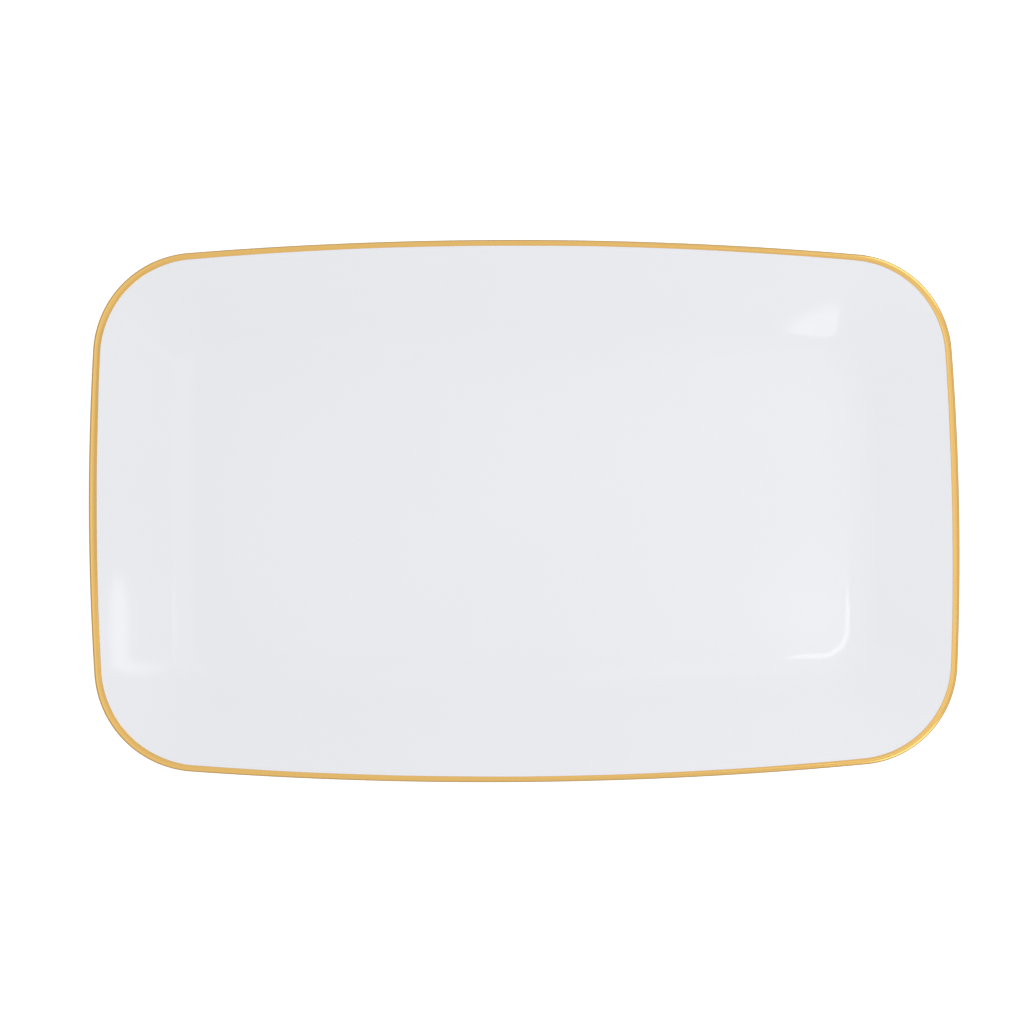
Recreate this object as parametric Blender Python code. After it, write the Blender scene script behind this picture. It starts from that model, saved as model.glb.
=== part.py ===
"""Oblong china serving platter: one porcelain body with a foot ring, and a gold band over its lip.

Units are metres. The origin is the middle of the platter at table height, +X runs along its length and +Z is up.

Every level of the platter has an outline of the same kind, made of tangent arcs: two long sides with a slight
bow, two short sides with a slight bow, and four round corners. An outline is named by its reach, its distance
outside the edge of the flat well, measured along +X. A section is then a list of (reach, height) points, and
each piece is its section swept round the outline.
"""

from math import atan2, cos, pi, radians, sin, tan

import bmesh
import bpy
from mathutils import Vector
from mathutils.geometry import intersect_line_line_2d, intersect_sphere_sphere_2d

# Overall size, over the gold band
LENGTH = 0.4064
WIDTH = 0.2524
HEIGHT = 0.024

# Outline of the rim
RIM_LONG_SIDE_RADIUS = 1.90
RIM_SHORT_SIDE_RADIUS = 1.25
RIM_CORNER_RADIUS = 0.048

# Outline of the flat well
WELL_LENGTH = 0.303
WELL_WIDTH = 0.139
WELL_LONG_SIDE_RADIUS = 4.0
WELL_SHORT_SIDE_RADIUS = 2.6
WELL_CORNER_RADIUS = 0.0135

# Section through the wall
WELL_THICKNESS = 0.0045
WELL_FILLET_RADIUS = 0.045
WALL_SLOPE_AT_WELL = radians(20.5)
WALL_SLOPE_AT_LIP = radians(22.5)

# Rounded lip and the gold band let into it, flush with the glaze
LIP_THICKNESS = 0.0032
BAND_THICKNESS = 0.0003
BAND_GAP = 0.0003
BAND_INNER_SKIRT = 0.0009
BAND_OUTER_SKIRT = 0.0014

# Foot ring
FOOT_HEIGHT = 0.003
FOOT_OUTER_REACH = -0.002
FOOT_WIDTH = 0.006
FOOT_EDGE_RADIUS = 0.0009

# Steps that stand in for each round stretch, over a quarter of an outline or along a section
LONG_SIDE_STEPS = 5
CORNER_STEPS = 9
SHORT_SIDE_STEPS = 3
FILLET_STEPS = 4
WALL_STEPS = 4
LIP_STEPS = 8
FOOT_EDGE_STEPS = 3

SMOOTH_ANGLE = radians(35)

RIM_REACH = (LENGTH - WELL_LENGTH) / 2
LIP_RADIUS = LIP_THICKNESS / 2


def arc_points(centre, radius, start, end, steps):
    """Return the points of an arc, both of its ends included."""
    angles = [start + (end - start) * step / steps for step in range(steps + 1)]
    return [centre + radius * Vector((cos(angle), sin(angle))) for angle in angles]


def blend(at_well, at_rim, reach):
    """Return a value that goes evenly from the well's edge to the rim."""
    return at_well + (at_rim - at_well) * reach / RIM_REACH


def quarter_outline(reach):
    """Return one quarter of an outline, from the end of the short axis to the end of the long axis."""
    half_length = blend(WELL_LENGTH, LENGTH, reach) / 2
    half_width = blend(WELL_WIDTH, WIDTH, reach) / 2
    corner_radius = blend(WELL_CORNER_RADIUS, RIM_CORNER_RADIUS, reach)
    long_radius = 1 / blend(1 / WELL_LONG_SIDE_RADIUS, 1 / RIM_LONG_SIDE_RADIUS, reach)
    short_radius = 1 / blend(1 / WELL_SHORT_SIDE_RADIUS, 1 / RIM_SHORT_SIDE_RADIUS, reach)
    long_centre = Vector((0, half_width - long_radius))
    short_centre = Vector((half_length - short_radius, 0))
    meetings = intersect_sphere_sphere_2d(
        long_centre, long_radius - corner_radius, short_centre, short_radius - corner_radius
    )
    corner_centre = max(meetings, key=lambda point: point.x + point.y)
    to_long = corner_centre - long_centre
    to_short = corner_centre - short_centre
    long_end = atan2(to_long.y, to_long.x)
    short_start = atan2(to_short.y, to_short.x)
    long_side = arc_points(long_centre, long_radius, pi / 2, long_end, LONG_SIDE_STEPS)
    corner = arc_points(corner_centre, corner_radius, long_end, short_start, CORNER_STEPS)
    short_side = arc_points(short_centre, short_radius, short_start, 0, SHORT_SIDE_STEPS)
    return long_side + corner[1:-1] + short_side


def outline(reach):
    """Return the whole outline: the quarter mirrored over both axes, going clockwise from +Y."""
    right_top = quarter_outline(reach)
    right_bottom = [Vector((point.x, -point.y)) for point in reversed(right_top[:-1])]
    right = right_top + right_bottom
    left = [Vector((-point.x, point.y)) for point in reversed(right[1:-1])]
    return right + left


def lip_frame():
    """Return the lip's centre, the direction out along the wall, and the direction up from the wall."""
    centre = Vector((RIM_REACH - LIP_RADIUS, HEIGHT - LIP_RADIUS))
    along = Vector((cos(WALL_SLOPE_AT_LIP), sin(WALL_SLOPE_AT_LIP)))
    up = Vector((-sin(WALL_SLOPE_AT_LIP), cos(WALL_SLOPE_AT_LIP)))
    return centre, along, up


def lip_point(along_distance, up_distance):
    """Return a section point placed from the lip's centre."""
    centre, along, up = lip_frame()
    return centre + along * along_distance + up * up_distance


def lip_round(radius):
    """Return a half circle over the lip, from its upper side to its lower side."""
    centre, _, _ = lip_frame()
    start = WALL_SLOPE_AT_LIP + pi / 2
    return arc_points(centre, radius, start, start - pi, LIP_STEPS)


def well_fillet(depth):
    """Return the concave stretch where the well turns into the wall, at a depth below the glazed top."""
    floor_height = FOOT_HEIGHT + WELL_THICKNESS
    centre = Vector((0, floor_height + WELL_FILLET_RADIUS))
    start = -pi / 2
    return arc_points(centre, WELL_FILLET_RADIUS + depth, start, start + WALL_SLOPE_AT_WELL, FILLET_STEPS)


def wall_stations():
    """Return (point, slope direction, share of the way to the lip) down the wall's upper side."""
    start = well_fillet(0)[-1]
    end = lip_point(-BAND_INNER_SKIRT - BAND_GAP, LIP_RADIUS)
    start_direction = Vector((1, tan(WALL_SLOPE_AT_WELL)))
    end_direction = Vector((1, tan(WALL_SLOPE_AT_LIP)))
    span = end.x - start.x
    control = intersect_line_line_2d(start, start + start_direction * span, end - end_direction * span, end)
    stations = []
    for step in range(WALL_STEPS + 1):
        share = step / WALL_STEPS
        point = start * (1 - share) ** 2 + control * 2 * share * (1 - share) + end * share**2
        direction = ((control - start) * (1 - share) + (end - control) * share).normalized()
        stations.append((point, direction, share))
    return stations


def wall_top():
    """Return the wall's upper side, from the fillet to the gold band."""
    return [point for point, _, _ in wall_stations()]


def underside():
    """Return the lower side from the gold band in to the foot ring, thinner towards the lip."""
    points = []
    for point, direction, share in reversed(wall_stations()):
        thickness = WELL_THICKNESS + (LIP_THICKNESS - WELL_THICKNESS) * share
        down = Vector((direction.y, -direction.x))
        points.append(point + down * thickness)
    return points + well_fillet(WELL_THICKNESS)[-2::-1]


def foot_section():
    """Return the foot ring from its outer root down, across the flat and up to the recess."""
    outer = FOOT_OUTER_REACH
    inner = FOOT_OUTER_REACH - FOOT_WIDTH
    radius = FOOT_EDGE_RADIUS
    root_height = FOOT_HEIGHT - radius
    outer_root = arc_points(Vector((outer + radius, root_height)), radius, pi / 2, pi, FOOT_EDGE_STEPS)
    outer_edge = arc_points(Vector((outer - radius, radius)), radius, 0, -pi / 2, FOOT_EDGE_STEPS)
    inner_edge = arc_points(Vector((inner + radius, radius)), radius, -pi / 2, -pi, FOOT_EDGE_STEPS)
    inner_root = arc_points(Vector((inner - radius, root_height)), radius, 0, pi / 2, FOOT_EDGE_STEPS)
    return outer_root + outer_edge + inner_edge + inner_root


def body_section():
    """Return the porcelain's section, from the middle of the well's top round to the recess below."""
    seat_radius = LIP_RADIUS - BAND_THICKNESS - BAND_GAP
    inner_end = -BAND_INNER_SKIRT - BAND_GAP
    outer_end = -BAND_OUTER_SKIRT - BAND_GAP
    return (
        well_fillet(0)[:-1]
        + wall_top()
        + [lip_point(inner_end, seat_radius)]
        + lip_round(seat_radius)
        + [lip_point(outer_end, -seat_radius), lip_point(outer_end, -LIP_RADIUS)]
        + underside()[1:]
        + foot_section()
    )


def band_section():
    """Return the gold band's section, a thin C wrapped over the lip."""
    inside_radius = LIP_RADIUS - BAND_THICKNESS
    return (
        [lip_point(-BAND_INNER_SKIRT, LIP_RADIUS)]
        + lip_round(LIP_RADIUS)
        + [lip_point(-BAND_OUTER_SKIRT, -LIP_RADIUS), lip_point(-BAND_OUTER_SKIRT, -inside_radius)]
        + list(reversed(lip_round(inside_radius)))
        + [lip_point(-BAND_INNER_SKIRT, inside_radius)]
    )


def make_material(name, colour, metallic, roughness):
    """Return a Principled material with a plain colour."""
    material = bpy.data.materials.new(name)
    material.use_nodes = True
    shader = material.node_tree.nodes["Principled BSDF"]
    shader.inputs["Base Color"].default_value = (*colour, 1)
    shader.inputs["Metallic"].default_value = metallic
    shader.inputs["Roughness"].default_value = roughness
    return material


def sweep(name, section, closed, material):
    """Add an object made by sweeping a section round the platter's outline.

    A closed section gives a ring. An open one gives a body whose first and last outlines are filled flat.
    """
    mesh_builder = bmesh.new()
    rings = [
        [mesh_builder.verts.new((point.x, point.y, station.y)) for point in outline(station.x)]
        for station in section
    ]
    followers = rings[1:] + rings[:1] if closed else rings[1:]
    for ring, follower in zip(rings, followers):
        for index, vert in enumerate(ring):
            mesh_builder.faces.new((vert, ring[index - 1], follower[index - 1], follower[index]))
    if not closed:
        mesh_builder.faces.new(rings[0])
        mesh_builder.faces.new(rings[-1])
    bmesh.ops.recalc_face_normals(mesh_builder, faces=mesh_builder.faces)
    mesh = bpy.data.meshes.new(name)
    mesh_builder.to_mesh(mesh)
    mesh_builder.free()
    mesh.shade_smooth()
    mesh.set_sharp_from_angle(angle=SMOOTH_ANGLE)
    mesh.materials.append(material)
    piece = bpy.data.objects.new(name, mesh)
    bpy.context.scene.collection.objects.link(piece)
    return piece


def clear_scene():
    """Remove every object, such as the default cube, camera and light."""
    for item in list(bpy.data.objects):
        bpy.data.objects.remove(item, do_unlink=True)


def main():
    """Build the platter."""
    clear_scene()
    porcelain = make_material("glazed_porcelain", (0.82, 0.83, 0.86), 0.0, 0.12)
    gold = make_material("fired_gold", (0.83, 0.52, 0.16), 1.0, 0.25)
    sweep("platter_body", body_section(), False, porcelain)
    sweep("gold_rim_band", band_section(), True, gold)


main()
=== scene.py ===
"""Looks of an oblong china serving platter: glazed porcelain with a fired gold band over the lip.

Lengths are in metres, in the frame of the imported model: the origin is the middle of the foot ring's plane,
+X runs along the platter and +Z is up. A point in a section is (reach, height), where reach is the distance
outside the edge of the flat well, measured along +X.
"""

import logging
from dataclasses import dataclass
from enum import Enum
from math import cos, pi, radians, sin, sqrt, tan

import bpy
import numpy as np
from mathutils import Euler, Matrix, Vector


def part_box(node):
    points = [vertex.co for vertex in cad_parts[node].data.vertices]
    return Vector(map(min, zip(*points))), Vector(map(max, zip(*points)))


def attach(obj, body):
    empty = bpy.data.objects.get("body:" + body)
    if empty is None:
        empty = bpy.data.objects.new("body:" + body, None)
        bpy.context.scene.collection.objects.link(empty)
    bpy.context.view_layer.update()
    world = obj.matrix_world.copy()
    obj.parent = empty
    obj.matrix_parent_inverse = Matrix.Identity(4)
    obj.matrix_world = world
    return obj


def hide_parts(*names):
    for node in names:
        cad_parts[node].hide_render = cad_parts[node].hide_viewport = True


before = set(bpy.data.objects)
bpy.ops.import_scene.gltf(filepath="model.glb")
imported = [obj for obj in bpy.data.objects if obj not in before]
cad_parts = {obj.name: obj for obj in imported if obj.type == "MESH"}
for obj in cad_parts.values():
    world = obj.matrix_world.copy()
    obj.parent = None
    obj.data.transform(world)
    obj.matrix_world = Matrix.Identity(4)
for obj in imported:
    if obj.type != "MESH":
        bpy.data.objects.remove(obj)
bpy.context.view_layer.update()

log = logging.getLogger("platter")

MM = 0.001
BODY = "root"
# Noise rarely leaves this span, so a finish is spread over it
NOISE_LOW, NOISE_HIGH = 0.3, 0.7
Points = np.ndarray


def linear_colour(hex_code: str, alpha: float = 1.0) -> tuple[float, float, float, float]:
    """Turn an sRGB hex colour into linear values.

    Args:
        hex_code: Colour such as "#EDEEF1".
        alpha: Opacity to put after the colour.

    Returns:
        Linear red, green and blue, and the alpha.
    """
    channels = [int(hex_code[place : place + 2], 16) / 255 for place in (1, 3, 5)]
    red, green, blue = [
        value / 12.92 if value <= 0.04045 else ((value + 0.055) / 1.055) ** 2.4 for value in channels
    ]
    return red, green, blue, alpha


def add_node(
    tree: bpy.types.NodeTree, kind: str, settings: dict | None = None, **links: object
) -> bpy.types.Node:
    """Add a shader node with its settings and its inputs.

    Args:
        tree: Node tree to add to.
        kind: Blender's identifier of the node.
        settings: Properties of the node itself, by name.
        **links: Inputs by name, with _ for a space. A socket is linked, and any other value is set.
            A name that ends in a number, such as value_1, counts the inputs of that name from 0.

    Returns:
        The new node.
    """
    node = tree.nodes.new(kind)
    for name, value in (settings or {}).items():
        setattr(node, name, value)
    for name, value in links.items():
        words, _, count = name.rpartition("_")
        wanted, index = (words, int(count)) if count.isdigit() else (name, 0)
        wanted = wanted.replace("_", " ").lower()
        sockets = [socket for socket in node.inputs if socket.name.lower() == wanted and socket.enabled]
        if isinstance(value, bpy.types.NodeSocket):
            tree.links.new(value, sockets[index])
        else:
            sockets[index].default_value = value
    return node


def smooth_waves(angle: Points, waves: tuple[tuple[int, float, float], ...]) -> Points:
    """Add up waves that close on themselves round a loop.

    Args:
        angle: Place round the loop, from 0 to 2 pi.
        waves: Each wave's number of turns, height and phase.

    Returns:
        The height of the summed waves at each place.
    """
    total = np.zeros_like(angle)
    for turns, height, phase in waves:
        total += height * np.sin(turns * angle + phase)
    return total


@dataclass(frozen=True)
class Outline:
    """The platter's plan: two long and two short bowed sides and four round corners, all tangent arcs."""

    rim_length: float
    rim_width: float
    well_length: float = 303 * MM
    well_width: float = 139 * MM
    rim_long_radius: float = 1.90
    rim_short_radius: float = 1.25
    rim_corner_radius: float = 48 * MM
    well_long_radius: float = 4.0
    well_short_radius: float = 2.6
    well_corner_radius: float = 13.5 * MM
    long_steps: int = 56
    corner_steps: int = 52
    short_steps: int = 32

    @property
    def rim_reach(self) -> float:
        """Return the reach of the rim's outermost line."""
        return (self.rim_length - self.well_length) / 2

    @property
    def count(self) -> int:
        """Return the number of points round the outline."""
        return 4 * (self.long_steps + self.corner_steps + self.short_steps)

    def blend(self, at_well: float, at_rim: float, reach: Points) -> Points:
        """Return a value that goes evenly from the well's edge to the rim."""
        return at_well + (at_rim - at_well) * reach / self.rim_reach

    def quarter_places(self) -> tuple[Points, Points]:
        """Place the points of a quarter of the outline on its three arcs.

        Returns:
            Each point's arc (0 long side, 1 corner, 2 short side), and its share of the way along that arc.
        """
        arcs, shares = [], []
        for arc, steps in enumerate((self.long_steps, self.corner_steps, self.short_steps)):
            arcs += [arc] * steps
            shares += [step / steps for step in range(steps)]
        return np.array(arcs + [2]), np.array(shares + [1.0])

    def whole_places(self) -> tuple[Points, Points, Points, Points]:
        """Place the points of the whole outline, by mirroring a quarter.

        Returns:
            Each point's arc, its share of the way along the arc, and the signs of its X and of its Y.
        """
        arcs, shares = self.quarter_places()
        mirrored_arcs, mirrored_shares = arcs[-2::-1], shares[-2::-1]
        right_arcs = np.concatenate([arcs, mirrored_arcs])
        right_shares = np.concatenate([shares, mirrored_shares])
        upper = np.concatenate([np.ones(len(arcs)), -np.ones(len(mirrored_arcs))])
        inner = slice(-2, 0, -1)
        all_arcs = np.concatenate([right_arcs, right_arcs[inner]])
        all_shares = np.concatenate([right_shares, right_shares[inner]])
        sign_x = np.concatenate([np.ones(len(right_arcs)), -np.ones(len(right_arcs) - 2)])
        sign_y = np.concatenate([upper, upper[inner]])
        return all_arcs, all_shares, sign_x, sign_y

    def place(self, reach: float | Points) -> Points:
        """Return the outline's points in plan.

        Args:
            reach: One reach for the whole outline, or one for each point.

        Returns:
            An array of X and Y, going clockwise from the middle of the +Y side.
        """
        arcs, shares, sign_x, sign_y = self.whole_places()
        reach = np.broadcast_to(np.asarray(reach, float), arcs.shape)
        half_length = self.blend(self.well_length, self.rim_length, reach) / 2
        half_width = self.blend(self.well_width, self.rim_width, reach) / 2
        corner = self.blend(self.well_corner_radius, self.rim_corner_radius, reach)
        long_radius = 1 / self.blend(1 / self.well_long_radius, 1 / self.rim_long_radius, reach)
        short_radius = 1 / self.blend(1 / self.well_short_radius, 1 / self.rim_short_radius, reach)
        long_y = half_width - long_radius
        short_x = half_length - short_radius
        apart = np.hypot(short_x, long_y)
        from_long, from_short = long_radius - corner, short_radius - corner
        along = (from_long**2 - from_short**2 + apart**2) / (2 * apart)
        aside = np.sqrt(from_long**2 - along**2)
        corner_x = (short_x * along - long_y * aside) / apart
        corner_y = long_y - (long_y * along + short_x * aside) / apart
        long_end = np.arctan2(corner_y - long_y, corner_x)
        short_start = np.arctan2(corner_y, corner_x - short_x)
        start = np.choose(arcs, [np.full_like(reach, pi / 2), long_end, short_start])
        end = np.choose(arcs, [long_end, short_start, np.zeros_like(reach)])
        radius = np.choose(arcs, [long_radius, corner, short_radius])
        centre_x = np.choose(arcs, [np.zeros_like(reach), corner_x, short_x])
        centre_y = np.choose(arcs, [long_y, corner_y, np.zeros_like(reach)])
        angle = start + (end - start) * shares
        plan_x = sign_x * (centre_x + radius * np.cos(angle))
        plan_y = sign_y * (centre_y + radius * np.sin(angle))
        return np.column_stack([plan_x, plan_y])

    def turn(self) -> Points:
        """Measure how far round the rim each point lies.

        Returns:
            Each point's place round the loop as an angle from 0 to 2 pi, by distance along the rim.
        """
        points = self.place(self.rim_reach)
        steps = np.linalg.norm(points - np.roll(points, 1, axis=0), axis=1)
        steps[0] = 0
        distance = np.cumsum(steps)
        closing = np.linalg.norm(points[0] - points[-1])
        return 2 * pi * distance / (distance[-1] + closing)

    def perimeter(self) -> float:
        """Return the distance round the rim."""
        points = self.place(self.rim_reach)
        return float(np.linalg.norm(points - np.roll(points, 1, axis=0), axis=1).sum())


@dataclass(frozen=True)
class Section:
    """The platter's section, from the well's edge over the lip to the foot ring."""

    rim_reach: float
    height: float
    well_thickness: float = 4.5 * MM
    fillet_radius: float = 45 * MM
    slope_at_well: float = radians(20.5)
    slope_at_lip: float = radians(22.5)
    lip_radius: float = 1.6 * MM
    foot_height: float = 3.0 * MM
    foot_outer: float = -2.0 * MM
    foot_width: float = 6.0 * MM
    foot_edge_radius: float = 0.9 * MM
    straight_inner: float = 1.2 * MM
    straight_outer: float = 1.7 * MM

    @property
    def floor_height(self) -> float:
        """Return the height of the well's glazed floor."""
        return self.foot_height + self.well_thickness

    def lip_point(self, along: float, up: float) -> Vector:
        """Place a point from the lip's centre.

        Args:
            along: Distance out along the wall.
            up: Distance up from the wall, square to it.

        Returns:
            The point in the section.
        """
        centre = Vector((self.rim_reach - self.lip_radius, self.height - self.lip_radius))
        outward = Vector((cos(self.slope_at_lip), sin(self.slope_at_lip)))
        upward = Vector((-sin(self.slope_at_lip), cos(self.slope_at_lip)))
        return centre + outward * along + upward * up

    def arc(self, centre: Vector, radius: float, start: float, end: float, steps: int) -> list[Vector]:
        """Return an arc's points, ends included; the angles are in radians, from outward to up."""
        angles = [start + (end - start) * step / steps for step in range(steps + 1)]
        return [centre + radius * Vector((cos(angle), sin(angle))) for angle in angles]

    def lip_round(self, radius: float, steps: int) -> list[Vector]:
        """Return a half circle over the lip, from its upper side to its lower side."""
        start = self.slope_at_lip + pi / 2
        return self.arc(self.lip_point(0, 0), radius, start, start - pi, steps)

    def fillet(self, depth: float, steps: int) -> list[Vector]:
        """Return the bend where the well turns into the wall, at a depth below the glazed top."""
        centre = Vector((0, self.floor_height + self.fillet_radius))
        return self.arc(centre, self.fillet_radius + depth, -pi / 2, -pi / 2 + self.slope_at_well, steps)

    def wall(self, skin: float, steps: int) -> list[tuple[Vector, Vector, float]]:
        """Return the wall's upper side.

        Args:
            skin: How far the surface lies under the full lip radius where the wall meets the lip.
            steps: Number of steps from the fillet to the lip.

        Returns:
            For each step the point, the direction up the wall, and the share of the way to the lip.
        """
        start = self.fillet(0, 1)[-1]
        end = self.lip_point(-self.straight_inner, self.lip_radius - skin)
        rise, run = end.y - start.y, end.x - start.x
        low, high = tan(self.slope_at_well), tan(self.slope_at_lip)
        control_run = (run * high - rise) / (high - low)
        control = start + Vector((control_run, control_run * low))
        stations = []
        for step in range(steps + 1):
            share = step / steps
            point = start * (1 - share) ** 2 + control * 2 * share * (1 - share) + end * share**2
            direction = ((control - start) * (1 - share) + (end - control) * share).normalized()
            stations.append((point, direction, share))
        return stations

    def underside(self, skin: float, steps: int, fillet_steps: int) -> list[Vector]:
        """Follow the lower side from the lip in to the foot ring. The wall is thinner towards the lip.

        Args:
            skin: How far the surface lies under the full lip radius.
            steps: Number of steps along the wall.
            fillet_steps: Number of steps round the bend.

        Returns:
            The points, from the lip inwards.
        """
        lip_thickness = 2 * (self.lip_radius - skin)
        points = []
        for point, direction, share in reversed(self.wall(skin, steps)):
            thickness = self.well_thickness + (lip_thickness - self.well_thickness) * share
            points.append(point + Vector((direction.y, -direction.x)) * thickness)
        return points + self.fillet(self.well_thickness, fillet_steps)[-2::-1]

    def foot(self, steps: int) -> list[Vector]:
        """Follow the foot ring from its outer root down, across the flat and up to the recess.

        Args:
            steps: Number of steps round each of the ring's four rounded edges.

        Returns:
            The points, from the outside inwards.
        """
        outer, inner = self.foot_outer, self.foot_outer - self.foot_width
        radius = self.foot_edge_radius
        root = self.foot_height - radius
        return (
            self.arc(Vector((outer + radius, root)), radius, pi / 2, pi, steps)
            + self.arc(Vector((outer - radius, radius)), radius, 0, -pi / 2, steps)
            + self.arc(Vector((inner + radius, radius)), radius, -pi / 2, -pi, steps)
            + self.arc(Vector((inner - radius, root)), radius, 0, pi / 2, steps)
        )


def make_mesh(name: str, points: Points, faces: list[tuple[int, ...]]) -> bpy.types.Object:
    """Make a smooth-shaded mesh object.

    Args:
        name: Name of the piece.
        points: Array of X, Y and Z.
        faces: Corners of each face, as indices into the points.

    Returns:
        The new object, linked to the scene.
    """
    mesh = bpy.data.meshes.new(name)
    mesh.from_pydata(points.tolist(), [], faces)
    mesh.validate()
    mesh.shade_smooth()
    piece = bpy.data.objects.new(name, mesh)
    bpy.context.scene.collection.objects.link(piece)
    return piece


def band_faces(rings: list[int], count: int) -> list[tuple[int, ...]]:
    """Return the quads between each ring and the next.

    Args:
        rings: Index of each ring's first point.
        count: Number of points in a ring.

    Returns:
        The faces, all wound the same way.
    """
    faces = []
    for ring, follower in zip(rings, rings[1:]):
        for index in range(count):
            after = (index + 1) % count
            faces.append((ring + index, ring + after, follower + after, follower + index))
    return faces


@dataclass(frozen=True)
class GlazedPorcelain:
    """Hard porcelain under a clear feldspar glaze, glost fired.

    It gives the eye a cool white body and a wet, sharp reflection. The glaze levels as it melts, so the
    reflection only wavers a little, and the flat of the well is a touch softer from washing and use.
    """

    # The wear's fine scratches are far under a millimetre apart, too fine to show, so their grain is drawn at
    # 1.6 mm. The worn flat turns into polished wall between the two reaches worn_to and polished_from.

    body: str = "#E9EAEE"
    cloud: str = "#E7E8EC"
    wall_roughness: float = 0.08
    well_roughness: float = 0.21
    ior: float = 1.50
    cloud_size: float = 70 * MM
    ripple_size: float = 16 * MM
    ripple_depth: float = 0.0025 * MM
    grain_size: float = 1.6 * MM
    grain_spread: float = 0.08
    worn_to: float = -0.5 * MM
    polished_from: float = 0.1 * MM

    def make(self) -> bpy.types.Material:
        """Build the finish's shader.

        Returns:
            The material.
        """
        material = bpy.data.materials.new("glazed_porcelain")
        material.use_nodes = True
        tree = material.node_tree
        shader = tree.nodes["Principled BSDF"]
        shader.inputs["IOR"].default_value = self.ior
        shader.inputs["Metallic"].default_value = 0.0
        place = add_node(tree, "ShaderNodeTexCoord").outputs["Object"]
        clouds = add_node(tree, "ShaderNodeTexNoise", Vector=place, Scale=1 / self.cloud_size, Detail=3.0)
        tint = add_node(
            tree,
            "ShaderNodeMix",
            {"data_type": "RGBA"},
            Factor=clouds.outputs["Fac"],
            A=linear_colour(self.body),
            B=linear_colour(self.cloud),
        )
        tree.links.new(tint.outputs[2], shader.inputs["Base Color"])
        reach = add_node(tree, "ShaderNodeAttribute", {"attribute_name": "glaze_reach"}).outputs["Fac"]
        wear = add_node(
            tree,
            "ShaderNodeMapRange",
            {"clamp": True},
            Value=reach,
            From_Min=self.worn_to,
            From_Max=self.polished_from,
            To_Min=self.well_roughness,
            To_Max=self.wall_roughness,
        )
        grain = add_node(tree, "ShaderNodeTexNoise", Vector=place, Scale=1 / self.grain_size, Detail=4.0)
        uneven = add_node(
            tree,
            "ShaderNodeMapRange",
            Value=grain.outputs["Fac"],
            From_Min=NOISE_LOW,
            From_Max=NOISE_HIGH,
            To_Min=1 - self.grain_spread,
            To_Max=1 + self.grain_spread,
        )
        rough = add_node(
            tree,
            "ShaderNodeMath",
            {"operation": "MULTIPLY"},
            Value_0=wear.outputs[0],
            Value_1=uneven.outputs[0],
        )
        tree.links.new(rough.outputs[0], shader.inputs["Roughness"])
        ripple = add_node(tree, "ShaderNodeTexNoise", Vector=place, Scale=1 / self.ripple_size, Detail=2.0)
        bump = add_node(
            tree, "ShaderNodeBump", Strength=1.0, Distance=self.ripple_depth, Height=ripple.outputs["Fac"]
        )
        tree.links.new(bump.outputs[0], shader.inputs["Normal"])
        return material


@dataclass(frozen=True)
class BareFoot:
    """Unglazed porcelain biscuit, ground flat where the platter stands.

    It gives the eye a matte, slightly warm and grainy line under the glossy foot ring.
    """

    # Ground biscuit has a grit of some 0.05 mm, too fine to show, so it is drawn at 0.35 mm.

    clay: str = "#DDD8CE"
    rubbed: str = "#C4BDB1"
    roughness: float = 0.8
    grit_size: float = 0.35 * MM
    grit_depth: float = 0.02 * MM

    def make(self) -> bpy.types.Material:
        """Build the finish's shader.

        Returns:
            The material.
        """
        material = bpy.data.materials.new("biscuit_foot")
        material.use_nodes = True
        tree = material.node_tree
        shader = tree.nodes["Principled BSDF"]
        shader.inputs["Roughness"].default_value = self.roughness
        place = add_node(tree, "ShaderNodeTexCoord").outputs["Object"]
        grit = add_node(tree, "ShaderNodeTexNoise", Vector=place, Scale=1 / self.grit_size, Detail=5.0)
        tint = add_node(
            tree,
            "ShaderNodeMix",
            {"data_type": "RGBA"},
            Factor=grit.outputs["Fac"],
            A=linear_colour(self.clay),
            B=linear_colour(self.rubbed),
        )
        tree.links.new(tint.outputs[2], shader.inputs["Base Color"])
        bump = add_node(
            tree, "ShaderNodeBump", Strength=1.0, Distance=self.grit_depth, Height=grit.outputs["Fac"]
        )
        tree.links.new(bump.outputs[0], shader.inputs["Normal"])
        return material


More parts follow.
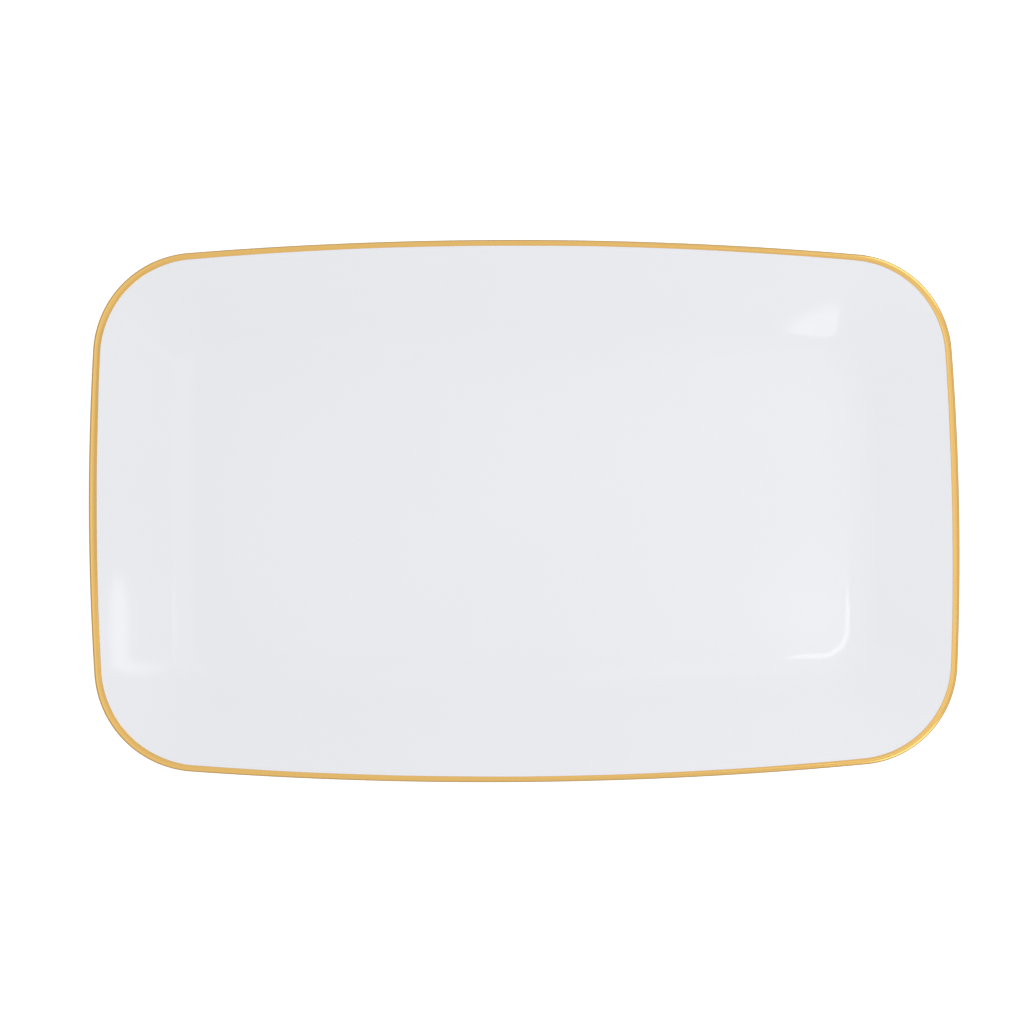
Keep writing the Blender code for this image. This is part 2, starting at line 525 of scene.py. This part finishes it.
@dataclass(frozen=True)
class FiredGold:
    """Bright gold lustre banded on by brush, fired and burnished.

    It gives the eye a warm metal gleam that changes sharply with the surface's tilt, with faint brush lines
    that run along the band.
    """

    # A banding brush's hairs leave lines some 0.1 mm apart, too fine to show, so they are drawn at 0.3 mm.

    bright: str = "#F0C576"
    deep: str = "#E5B86A"
    roughness: float = 0.22
    brush_spread: float = 0.15
    brush_length: float = 45 * MM
    brush_width: float = 0.3 * MM
    brush_depth: float = 0.001 * MM

    def make(self) -> bpy.types.Material:
        """Build the finish's shader.

        Returns:
            The material.
        """
        material = bpy.data.materials.new("fired_gold")
        material.use_nodes = True
        tree = material.node_tree
        shader = tree.nodes["Principled BSDF"]
        shader.inputs["Metallic"].default_value = 1.0
        path = add_node(tree, "ShaderNodeAttribute", {"attribute_name": "band_path"}).outputs["Vector"]
        stretch = add_node(
            tree,
            "ShaderNodeMapping",
            Vector=path,
            Scale=(1 / self.brush_length, 1 / self.brush_length, 1 / self.brush_width),
        )
        brush = add_node(tree, "ShaderNodeTexNoise", Vector=stretch.outputs[0], Scale=1.0, Detail=3.0)
        tint = add_node(
            tree,
            "ShaderNodeMix",
            {"data_type": "RGBA"},
            Factor=brush.outputs["Fac"],
            A=linear_colour(self.bright),
            B=linear_colour(self.deep),
        )
        tree.links.new(tint.outputs[2], shader.inputs["Base Color"])
        rough = add_node(
            tree,
            "ShaderNodeMapRange",
            Value=brush.outputs["Fac"],
            From_Min=NOISE_LOW,
            From_Max=NOISE_HIGH,
            To_Min=self.roughness * (1 - self.brush_spread),
            To_Max=self.roughness * (1 + self.brush_spread),
        )
        tree.links.new(rough.outputs[0], shader.inputs["Roughness"])
        bump = add_node(
            tree, "ShaderNodeBump", Strength=1.0, Distance=self.brush_depth, Height=brush.outputs["Fac"]
        )
        tree.links.new(bump.outputs[0], shader.inputs["Normal"])
        return material


@dataclass(frozen=True)
class WhiteSweep:
    """Matte white studio sweep paper.

    It gives the eye a clean white ground. Its glow, which only the camera sees, keeps it white beside the
    platter, and the platter's shadow still shows in it.
    """

    paper: str = "#C4C4C4"
    roughness: float = 0.9
    glow: float = 0.75

    def make(self) -> bpy.types.Material:
        """Build the finish's shader.

        Returns:
            The material.
        """
        material = bpy.data.materials.new("white_sweep_paper")
        material.use_nodes = True
        tree = material.node_tree
        shader = tree.nodes["Principled BSDF"]
        shader.inputs["Base Color"].default_value = linear_colour(self.paper)
        shader.inputs["Roughness"].default_value = self.roughness
        shader.inputs["Specular IOR Level"].default_value = 0.0
        shader.inputs["Emission Color"].default_value = (1, 1, 1, 1)
        seen = add_node(tree, "ShaderNodeLightPath").outputs["Is Camera Ray"]
        glow = add_node(tree, "ShaderNodeMath", {"operation": "MULTIPLY"}, Value_0=seen, Value_1=self.glow)
        tree.links.new(glow.outputs[0], shader.inputs["Emission Strength"])
        return material


@dataclass
class PorcelainBody:
    """The pressed porcelain: well, walls, rounded lip and foot ring in one fired piece."""

    outline: Outline
    section: Section
    film: float = 0.04 * MM
    fillet_steps: int = 24
    wall_steps: int = 24
    lip_steps: int = 16
    foot_edge_steps: int = 5
    flat_margin: float = 0.3 * MM
    flat_rings: int = 9
    bare_share: float = 0.25

    def stations(self) -> list[Vector]:
        """Follow the section from the well's edge over the lip and under to the recess.

        Returns:
            The points of the section.
        """
        section = self.section
        radius = section.lip_radius - self.film
        wall = [point for point, _, _ in section.wall(self.film, self.wall_steps)]
        return (
            section.fillet(0, self.fillet_steps)[:-1]
            + wall
            + section.lip_round(radius, self.lip_steps)
            + [section.lip_point(-section.straight_outer, -radius)]
            + section.underside(self.film, self.wall_steps, self.fillet_steps)[1:]
            + section.foot(self.foot_edge_steps)
        )

    def flat(self, station: Vector) -> tuple[Points, list[float]]:
        """Fill a flat inside a station with rings that shrink towards its middle.

        Args:
            station: Point of the section at the flat's edge.

        Returns:
            The points, the middle one last, and the reach of each ring.
        """
        margin = self.outline.place(station.x - self.flat_margin)
        shares = [1 - step / self.flat_rings for step in range(self.flat_rings)]
        plan = np.concatenate([margin * share for share in shares] + [np.zeros((1, 2))])
        half_width = self.outline.well_width / 2
        reaches = [station.x - self.flat_margin - half_width * (1 - share) for share in shares]
        return np.column_stack([plan, np.full(len(plan), station.y)]), reaches

    def build(self) -> bpy.types.Object:
        """Build the body's mesh. Its points carry their reach, by which the glaze is worn or polished.

        Returns:
            The body's object.
        """
        count = self.outline.count
        stations = self.stations()
        blocks = [
            np.column_stack([self.outline.place(station.x), np.full(count, station.y)])
            for station in stations
        ]
        reaches = [np.full(count, station.x) for station in stations]
        rings = [step * count for step in range(len(stations))]
        faces = band_faces(rings, count)
        start = len(stations) * count
        for station, edge, flip in ((stations[0], rings[0], True), (stations[-1], rings[-1], False)):
            points, flat_reaches = self.flat(station)
            flat_rings = [edge] + [start + step * count for step in range(self.flat_rings)]
            middle = start + len(points) - 1
            filled = band_faces(flat_rings, count)
            last = flat_rings[-1]
            filled += [(last + index, last + (index + 1) % count, middle) for index in range(count)]
            faces += [face[::-1] for face in filled] if flip else filled
            blocks.append(points)
            reaches += [np.full(count, reach) for reach in flat_reaches]
            reaches.append(np.array([-self.outline.well_width / 2]))
            start = middle + 1
        piece = make_mesh("porcelain_body", np.concatenate(blocks), faces)
        attribute = piece.data.attributes.new("glaze_reach", "FLOAT", "POINT")
        attribute.data.foreach_set("value", np.concatenate(reaches).astype(np.float32))
        return piece

    def dress(self, piece: bpy.types.Object) -> None:
        """Glaze the body and leave the flat of the foot ring bare.

        Args:
            piece: The body's object.
        """
        piece.data.materials.append(GlazedPorcelain().make())
        piece.data.materials.append(BareFoot().make())
        bare_height = self.bare_share * self.section.foot_edge_radius
        for polygon in piece.data.polygons:
            if polygon.center.z < bare_height:
                polygon.material_index = 1


@dataclass
class GoldBand:
    """The gold band: a thin film over the lip, with edges that waver as a banding brush leaves them.

    Each wave of an edge has a number of turns round the platter, a height and a phase. The wave with two
    turns makes the band wider at the two ends than along the sides.
    """

    outline: Outline
    section: Section
    film: float = 0.03 * MM
    inner_skirt: float = 0.80 * MM
    outer_skirt: float = 1.4 * MM
    lip_steps: int = 28
    skirt_steps: int = 4
    inner_waves: tuple[tuple[int, float, float], ...] = (
        (1, 0.12 * MM, 1.9),
        (2, 0.58 * MM, -1.57),
        (4, 0.08 * MM, 1.57),
        (9, 0.03 * MM, 2.1),
        (23, 0.02 * MM, 1.0),
        (61, 0.01 * MM, 0.2),
    )
    outer_waves: tuple[tuple[int, float, float], ...] = (
        (2, 0.10 * MM, 1.4),
        (5, 0.08 * MM, 0.3),
        (13, 0.05 * MM, 2.7),
    )

    def layer(self, radius: float) -> list[tuple[float, float, float, float]]:
        """Return a layer of the film over the lip, inner edge first.

        Args:
            radius: Distance of the layer from the lip's centre line.

        Returns:
            For each point its distance along the wall, its distance square to the wall, and how much of the
            inner and outer edges' waver it follows.
        """
        points = []
        for step in range(self.skirt_steps, 0, -1):
            share = step / self.skirt_steps
            points.append((-self.inner_skirt * share, radius, share, 0.0))
        for step in range(self.lip_steps + 1):
            angle = pi / 2 - pi * step / self.lip_steps
            points.append((radius * cos(angle), radius * sin(angle), 0.0, 0.0))
        for step in range(1, self.skirt_steps + 1):
            share = step / self.skirt_steps
            points.append((-self.outer_skirt * share, -radius, 0.0, share))
        return points

    def build(self) -> bpy.types.Object:
        """Build the band's mesh. Its points carry their place along and across the band, for the brush lines.

        Returns:
            The band's object.
        """
        outer = self.layer(self.section.lip_radius)
        inner = self.layer(self.section.lip_radius - self.film)[::-1]
        turn = self.outline.turn()
        inner_waver = smooth_waves(turn, self.inner_waves)
        outer_waver = smooth_waves(turn, self.outer_waves)
        loop_radius = self.outline.perimeter() / (2 * pi)
        origin = self.section.lip_point(0, 0)
        outward = self.section.lip_point(1, 0) - origin
        upward = self.section.lip_point(0, 1) - origin
        blocks, paths = [], []
        loop = (loop_radius * np.cos(turn), loop_radius * np.sin(turn))
        across = 0.0
        previous = None
        for along, up, inner_share, outer_share in outer + inner:
            if previous is not None:
                across += sqrt((along - previous[0]) ** 2 + (up - previous[1]) ** 2)
            previous = (along, up)
            wavering = along - inner_waver * inner_share - outer_waver * outer_share
            reach = origin.x + outward.x * wavering + upward.x * up
            height = origin.y + outward.y * wavering + upward.y * up
            blocks.append(np.column_stack([self.outline.place(reach), height]))
            paths.append(np.column_stack([*loop, np.full_like(turn, across)]))
        count = self.outline.count
        rings = [step * count for step in range(len(blocks))]
        piece = make_mesh("gold_band", np.concatenate(blocks), band_faces(rings + rings[:1], count))
        attribute = piece.data.attributes.new("band_path", "FLOAT_VECTOR", "POINT")
        attribute.data.foreach_set("vector", np.concatenate(paths).astype(np.float32).ravel())
        return piece

    def dress(self, piece: bpy.types.Object) -> None:
        """Give the band its fired gold."""
        piece.data.materials.append(FiredGold().make())


class LampShape(Enum):
    """Shape of a soft lamp's front."""

    PANEL = "RECTANGLE"
    DISC = "ELLIPSE"


@dataclass(frozen=True)
class SoftLamp:
    """A soft lamp, placed by the direction it is seen in from the spot it faces.

    The direction leans east (+X) and north (+Y) from straight up, in degrees. The depth of the lamp's front
    lies along that lean and its width lies across it. The brightness is the light that the front gives off,
    where white paper in full light is 1. A grid on the front narrows the beam, in degrees.
    """

    name: str
    east: float
    north: float
    distance: float
    width: float
    depth: float
    brightness: float
    faces: tuple[float, float, float] = (0.0, 0.0, 0.0)
    shape: LampShape = LampShape.PANEL
    beam: float = 180.0

    def beam_share(self) -> float:
        """Return the share of an open lamp's power that keeps a narrow beam as bright straight ahead."""
        half = radians(self.beam / 2)
        return 1.0 if self.beam >= 180 else (tan(half) - half) / tan(half)

    def build(self) -> bpy.types.Object:
        """Build the lamp. It lights and is mirrored, but the camera doesn't see it.

        Returns:
            The lamp's object.
        """
        data = bpy.data.lights.new(self.name, "AREA")
        data.shape = self.shape.value
        data.size = self.width
        data.size_y = self.depth
        data.spread = radians(self.beam)
        area = self.width * self.depth * (pi / 4 if self.shape is LampShape.DISC else 1)
        data.energy = self.brightness * pi * area * self.beam_share()
        lamp = bpy.data.objects.new(self.name, data)
        away = Vector((tan(radians(self.east)), tan(radians(self.north)), 1)).normalized()
        lamp.location = Vector(self.faces) + away * self.distance
        lamp.rotation_euler = away.to_track_quat("Z", "Y").to_euler()
        lamp.visible_camera = False
        bpy.context.scene.collection.objects.link(lamp)
        return lamp


@dataclass
class Studio:
    """The floor, the room, the lamps and the camera.

    Two panels close by on the right make the light fall off over the platter. Three small lamps make the
    sharp gleams in the glaze: a J round the right front corner of the well, an upright one on the left wall
    and a short one at the right end of the back wall. The room is brighter near the horizon on the right, by
    right_rise, and brighter higher up on the left, by left_rise.
    """

    rim_height: float
    floor_radius: float = 8.0
    floor_rings: int = 24
    floor_points: int = 96
    floor_gap: float = 0.1 * MM
    room_brightness: float = 0.92
    right_rise: float = 0.35
    left_rise: float = 0.36
    horizon_power: float = 3.0
    camera_distance: float = 1.8
    camera_turn: tuple[float, float, float] = (3.75, -5.54, -0.61)
    camera_aside: tuple[float, float] = (-7.78 * MM, -1.06 * MM)
    lens: float = 136.2
    lamps: tuple[SoftLamp, ...] = (
        SoftLamp(
            "right_back_panel",
            east=57.8,
            north=57.8,
            distance=0.9,
            width=0.49,
            depth=0.49,
            brightness=1.25,
        ),
        SoftLamp(
            "right_front_panel",
            east=57.8,
            north=-57.8,
            distance=0.9,
            width=0.49,
            depth=0.49,
            brightness=1.2,
        ),
        SoftLamp("overhead_panel", east=20, north=4, distance=2.3, width=1.4, depth=0.85, brightness=0.26),
        SoftLamp(
            "near_strip",
            east=8.7,
            north=4.7,
            distance=0.358,
            width=0.026,
            depth=0.030,
            brightness=2.7,
            faces=(0.146, -0.066, 0.0075),
            beam=40,
        ),
        SoftLamp(
            "left_wall_strip",
            east=44.8,
            north=5.0,
            distance=0.17,
            width=0.052,
            depth=0.007,
            brightness=2.1,
            faces=(-0.1897, -0.0545, 0.0198),
            shape=LampShape.DISC,
            beam=40,
        ),
        SoftLamp(
            "back_wall_strip",
            east=8.2,
            north=-32.9,
            distance=0.15,
            width=0.040,
            depth=0.008,
            brightness=1.9,
            faces=(0.145, 0.0865, 0.0118),
            shape=LampShape.DISC,
            beam=40,
        ),
    )

    def build_floor(self) -> bpy.types.Object:
        """Build the round white floor.

        Returns:
            The floor's object.
        """
        turn = np.arange(self.floor_points) * 2 * pi / self.floor_points
        circle = np.column_stack([np.cos(turn), np.sin(turn)])
        shares = [1 - step / self.floor_rings for step in range(self.floor_rings)]
        flats = [circle * self.floor_radius * share for share in shares]
        flat = np.concatenate(flats + [np.zeros((1, 2))])
        points = np.column_stack([flat, np.full(len(flat), -self.floor_gap)])
        rings = [step * self.floor_points for step in range(self.floor_rings)]
        faces = band_faces(rings, self.floor_points)
        middle = len(points) - 1
        faces += [
            (rings[-1] + index, rings[-1] + (index + 1) % self.floor_points, middle)
            for index in range(self.floor_points)
        ]
        floor = make_mesh("sweep_floor", points, faces)
        floor.data.materials.append(WhiteSweep().make())
        return floor

    def build_room(self) -> None:
        """Fill the room with even light, and keep it white where the camera sees it."""
        world = bpy.data.worlds.new("studio_room")
        world.use_nodes = True
        tree = world.node_tree
        tree.nodes.clear()
        direction = add_node(tree, "ShaderNodeTexCoord").outputs["Generated"]
        parts = add_node(tree, "ShaderNodeSeparateXYZ", Vector=direction)
        depth = add_node(
            tree, "ShaderNodeMath", {"operation": "SUBTRACT"}, Value_0=1.0, Value_1=parts.outputs["Z"]
        )
        lowness = add_node(
            tree,
            "ShaderNodeMath",
            {"operation": "POWER"},
            Value_0=depth.outputs[0],
            Value_1=self.horizon_power,
        )
        low_lean = add_node(
            tree,
            "ShaderNodeMath",
            {"operation": "MULTIPLY"},
            Value_0=lowness.outputs[0],
            Value_1=self.right_rise,
        )
        lean = add_node(
            tree,
            "ShaderNodeMath",
            {"operation": "MULTIPLY_ADD"},
            Value_0=parts.outputs["Z"],
            Value_1=-self.left_rise,
            Value_2=low_lean.outputs[0],
        )
        light = add_node(
            tree,
            "ShaderNodeMath",
            {"operation": "MULTIPLY_ADD"},
            Value_0=lean.outputs[0],
            Value_1=parts.outputs["X"],
            Value_2=self.room_brightness,
        )
        seen = add_node(tree, "ShaderNodeLightPath").outputs["Is Camera Ray"]
        strength = add_node(
            tree, "ShaderNodeMath", {"operation": "MAXIMUM"}, Value_0=light.outputs[0], Value_1=seen
        )
        room = add_node(tree, "ShaderNodeBackground", Color=(1, 1, 1, 1), Strength=strength.outputs[0])
        add_node(tree, "ShaderNodeOutputWorld", Surface=room.outputs[0])
        bpy.context.scene.world = world

    def build_camera(self) -> bpy.types.Object:
        """Build the camera, almost straight above the platter and a little to its left and front.

        Returns:
            The camera's object.
        """
        data = bpy.data.cameras.new("camera")
        data.lens = self.lens
        camera = bpy.data.objects.new("camera", data)
        turn = Euler([radians(angle) for angle in self.camera_turn])
        aside_x, aside_y = self.camera_aside
        camera.location = turn.to_matrix() @ Vector((aside_x, aside_y, self.camera_distance))
        camera.location.z += self.rim_height
        camera.rotation_euler = turn
        bpy.context.scene.collection.objects.link(camera)
        bpy.context.scene.camera = camera
        return camera

    def build(self) -> None:
        """Build the floor, the room, the lamps and the camera."""
        self.build_floor()
        self.build_room()
        for lamp in self.lamps:
            lamp.build()
        self.build_camera()
        bpy.context.scene.view_settings.view_transform = "Standard"


def make_platter() -> None:
    """Build and dress the platter's pieces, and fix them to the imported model."""
    band_low, band_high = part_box("gold_rim_band")
    outline = Outline(rim_length=band_high.x - band_low.x, rim_width=band_high.y - band_low.y)
    section = Section(rim_reach=outline.rim_reach, height=band_high.z)
    for maker, node, slot in (
        (PorcelainBody(outline, section), "platter_body", "glazed_porcelain"),
        (GoldBand(outline, section), "gold_rim_band", "fired_gold"),
    ):
        piece = maker.build()
        maker.dress(piece)
        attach(piece, BODY)
        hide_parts(node)
        log.info("%s: %d faces", piece.name, len(piece.data.polygons))


def main() -> None:
    """Build the platter and the studio round it."""
    logging.basicConfig(level=logging.INFO)
    make_platter()
    _, band_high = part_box("gold_rim_band")
    Studio(rim_height=band_high.z - Section.lip_radius).build()
    log.info("studio ready")


if __name__ == "__main__":
    main()
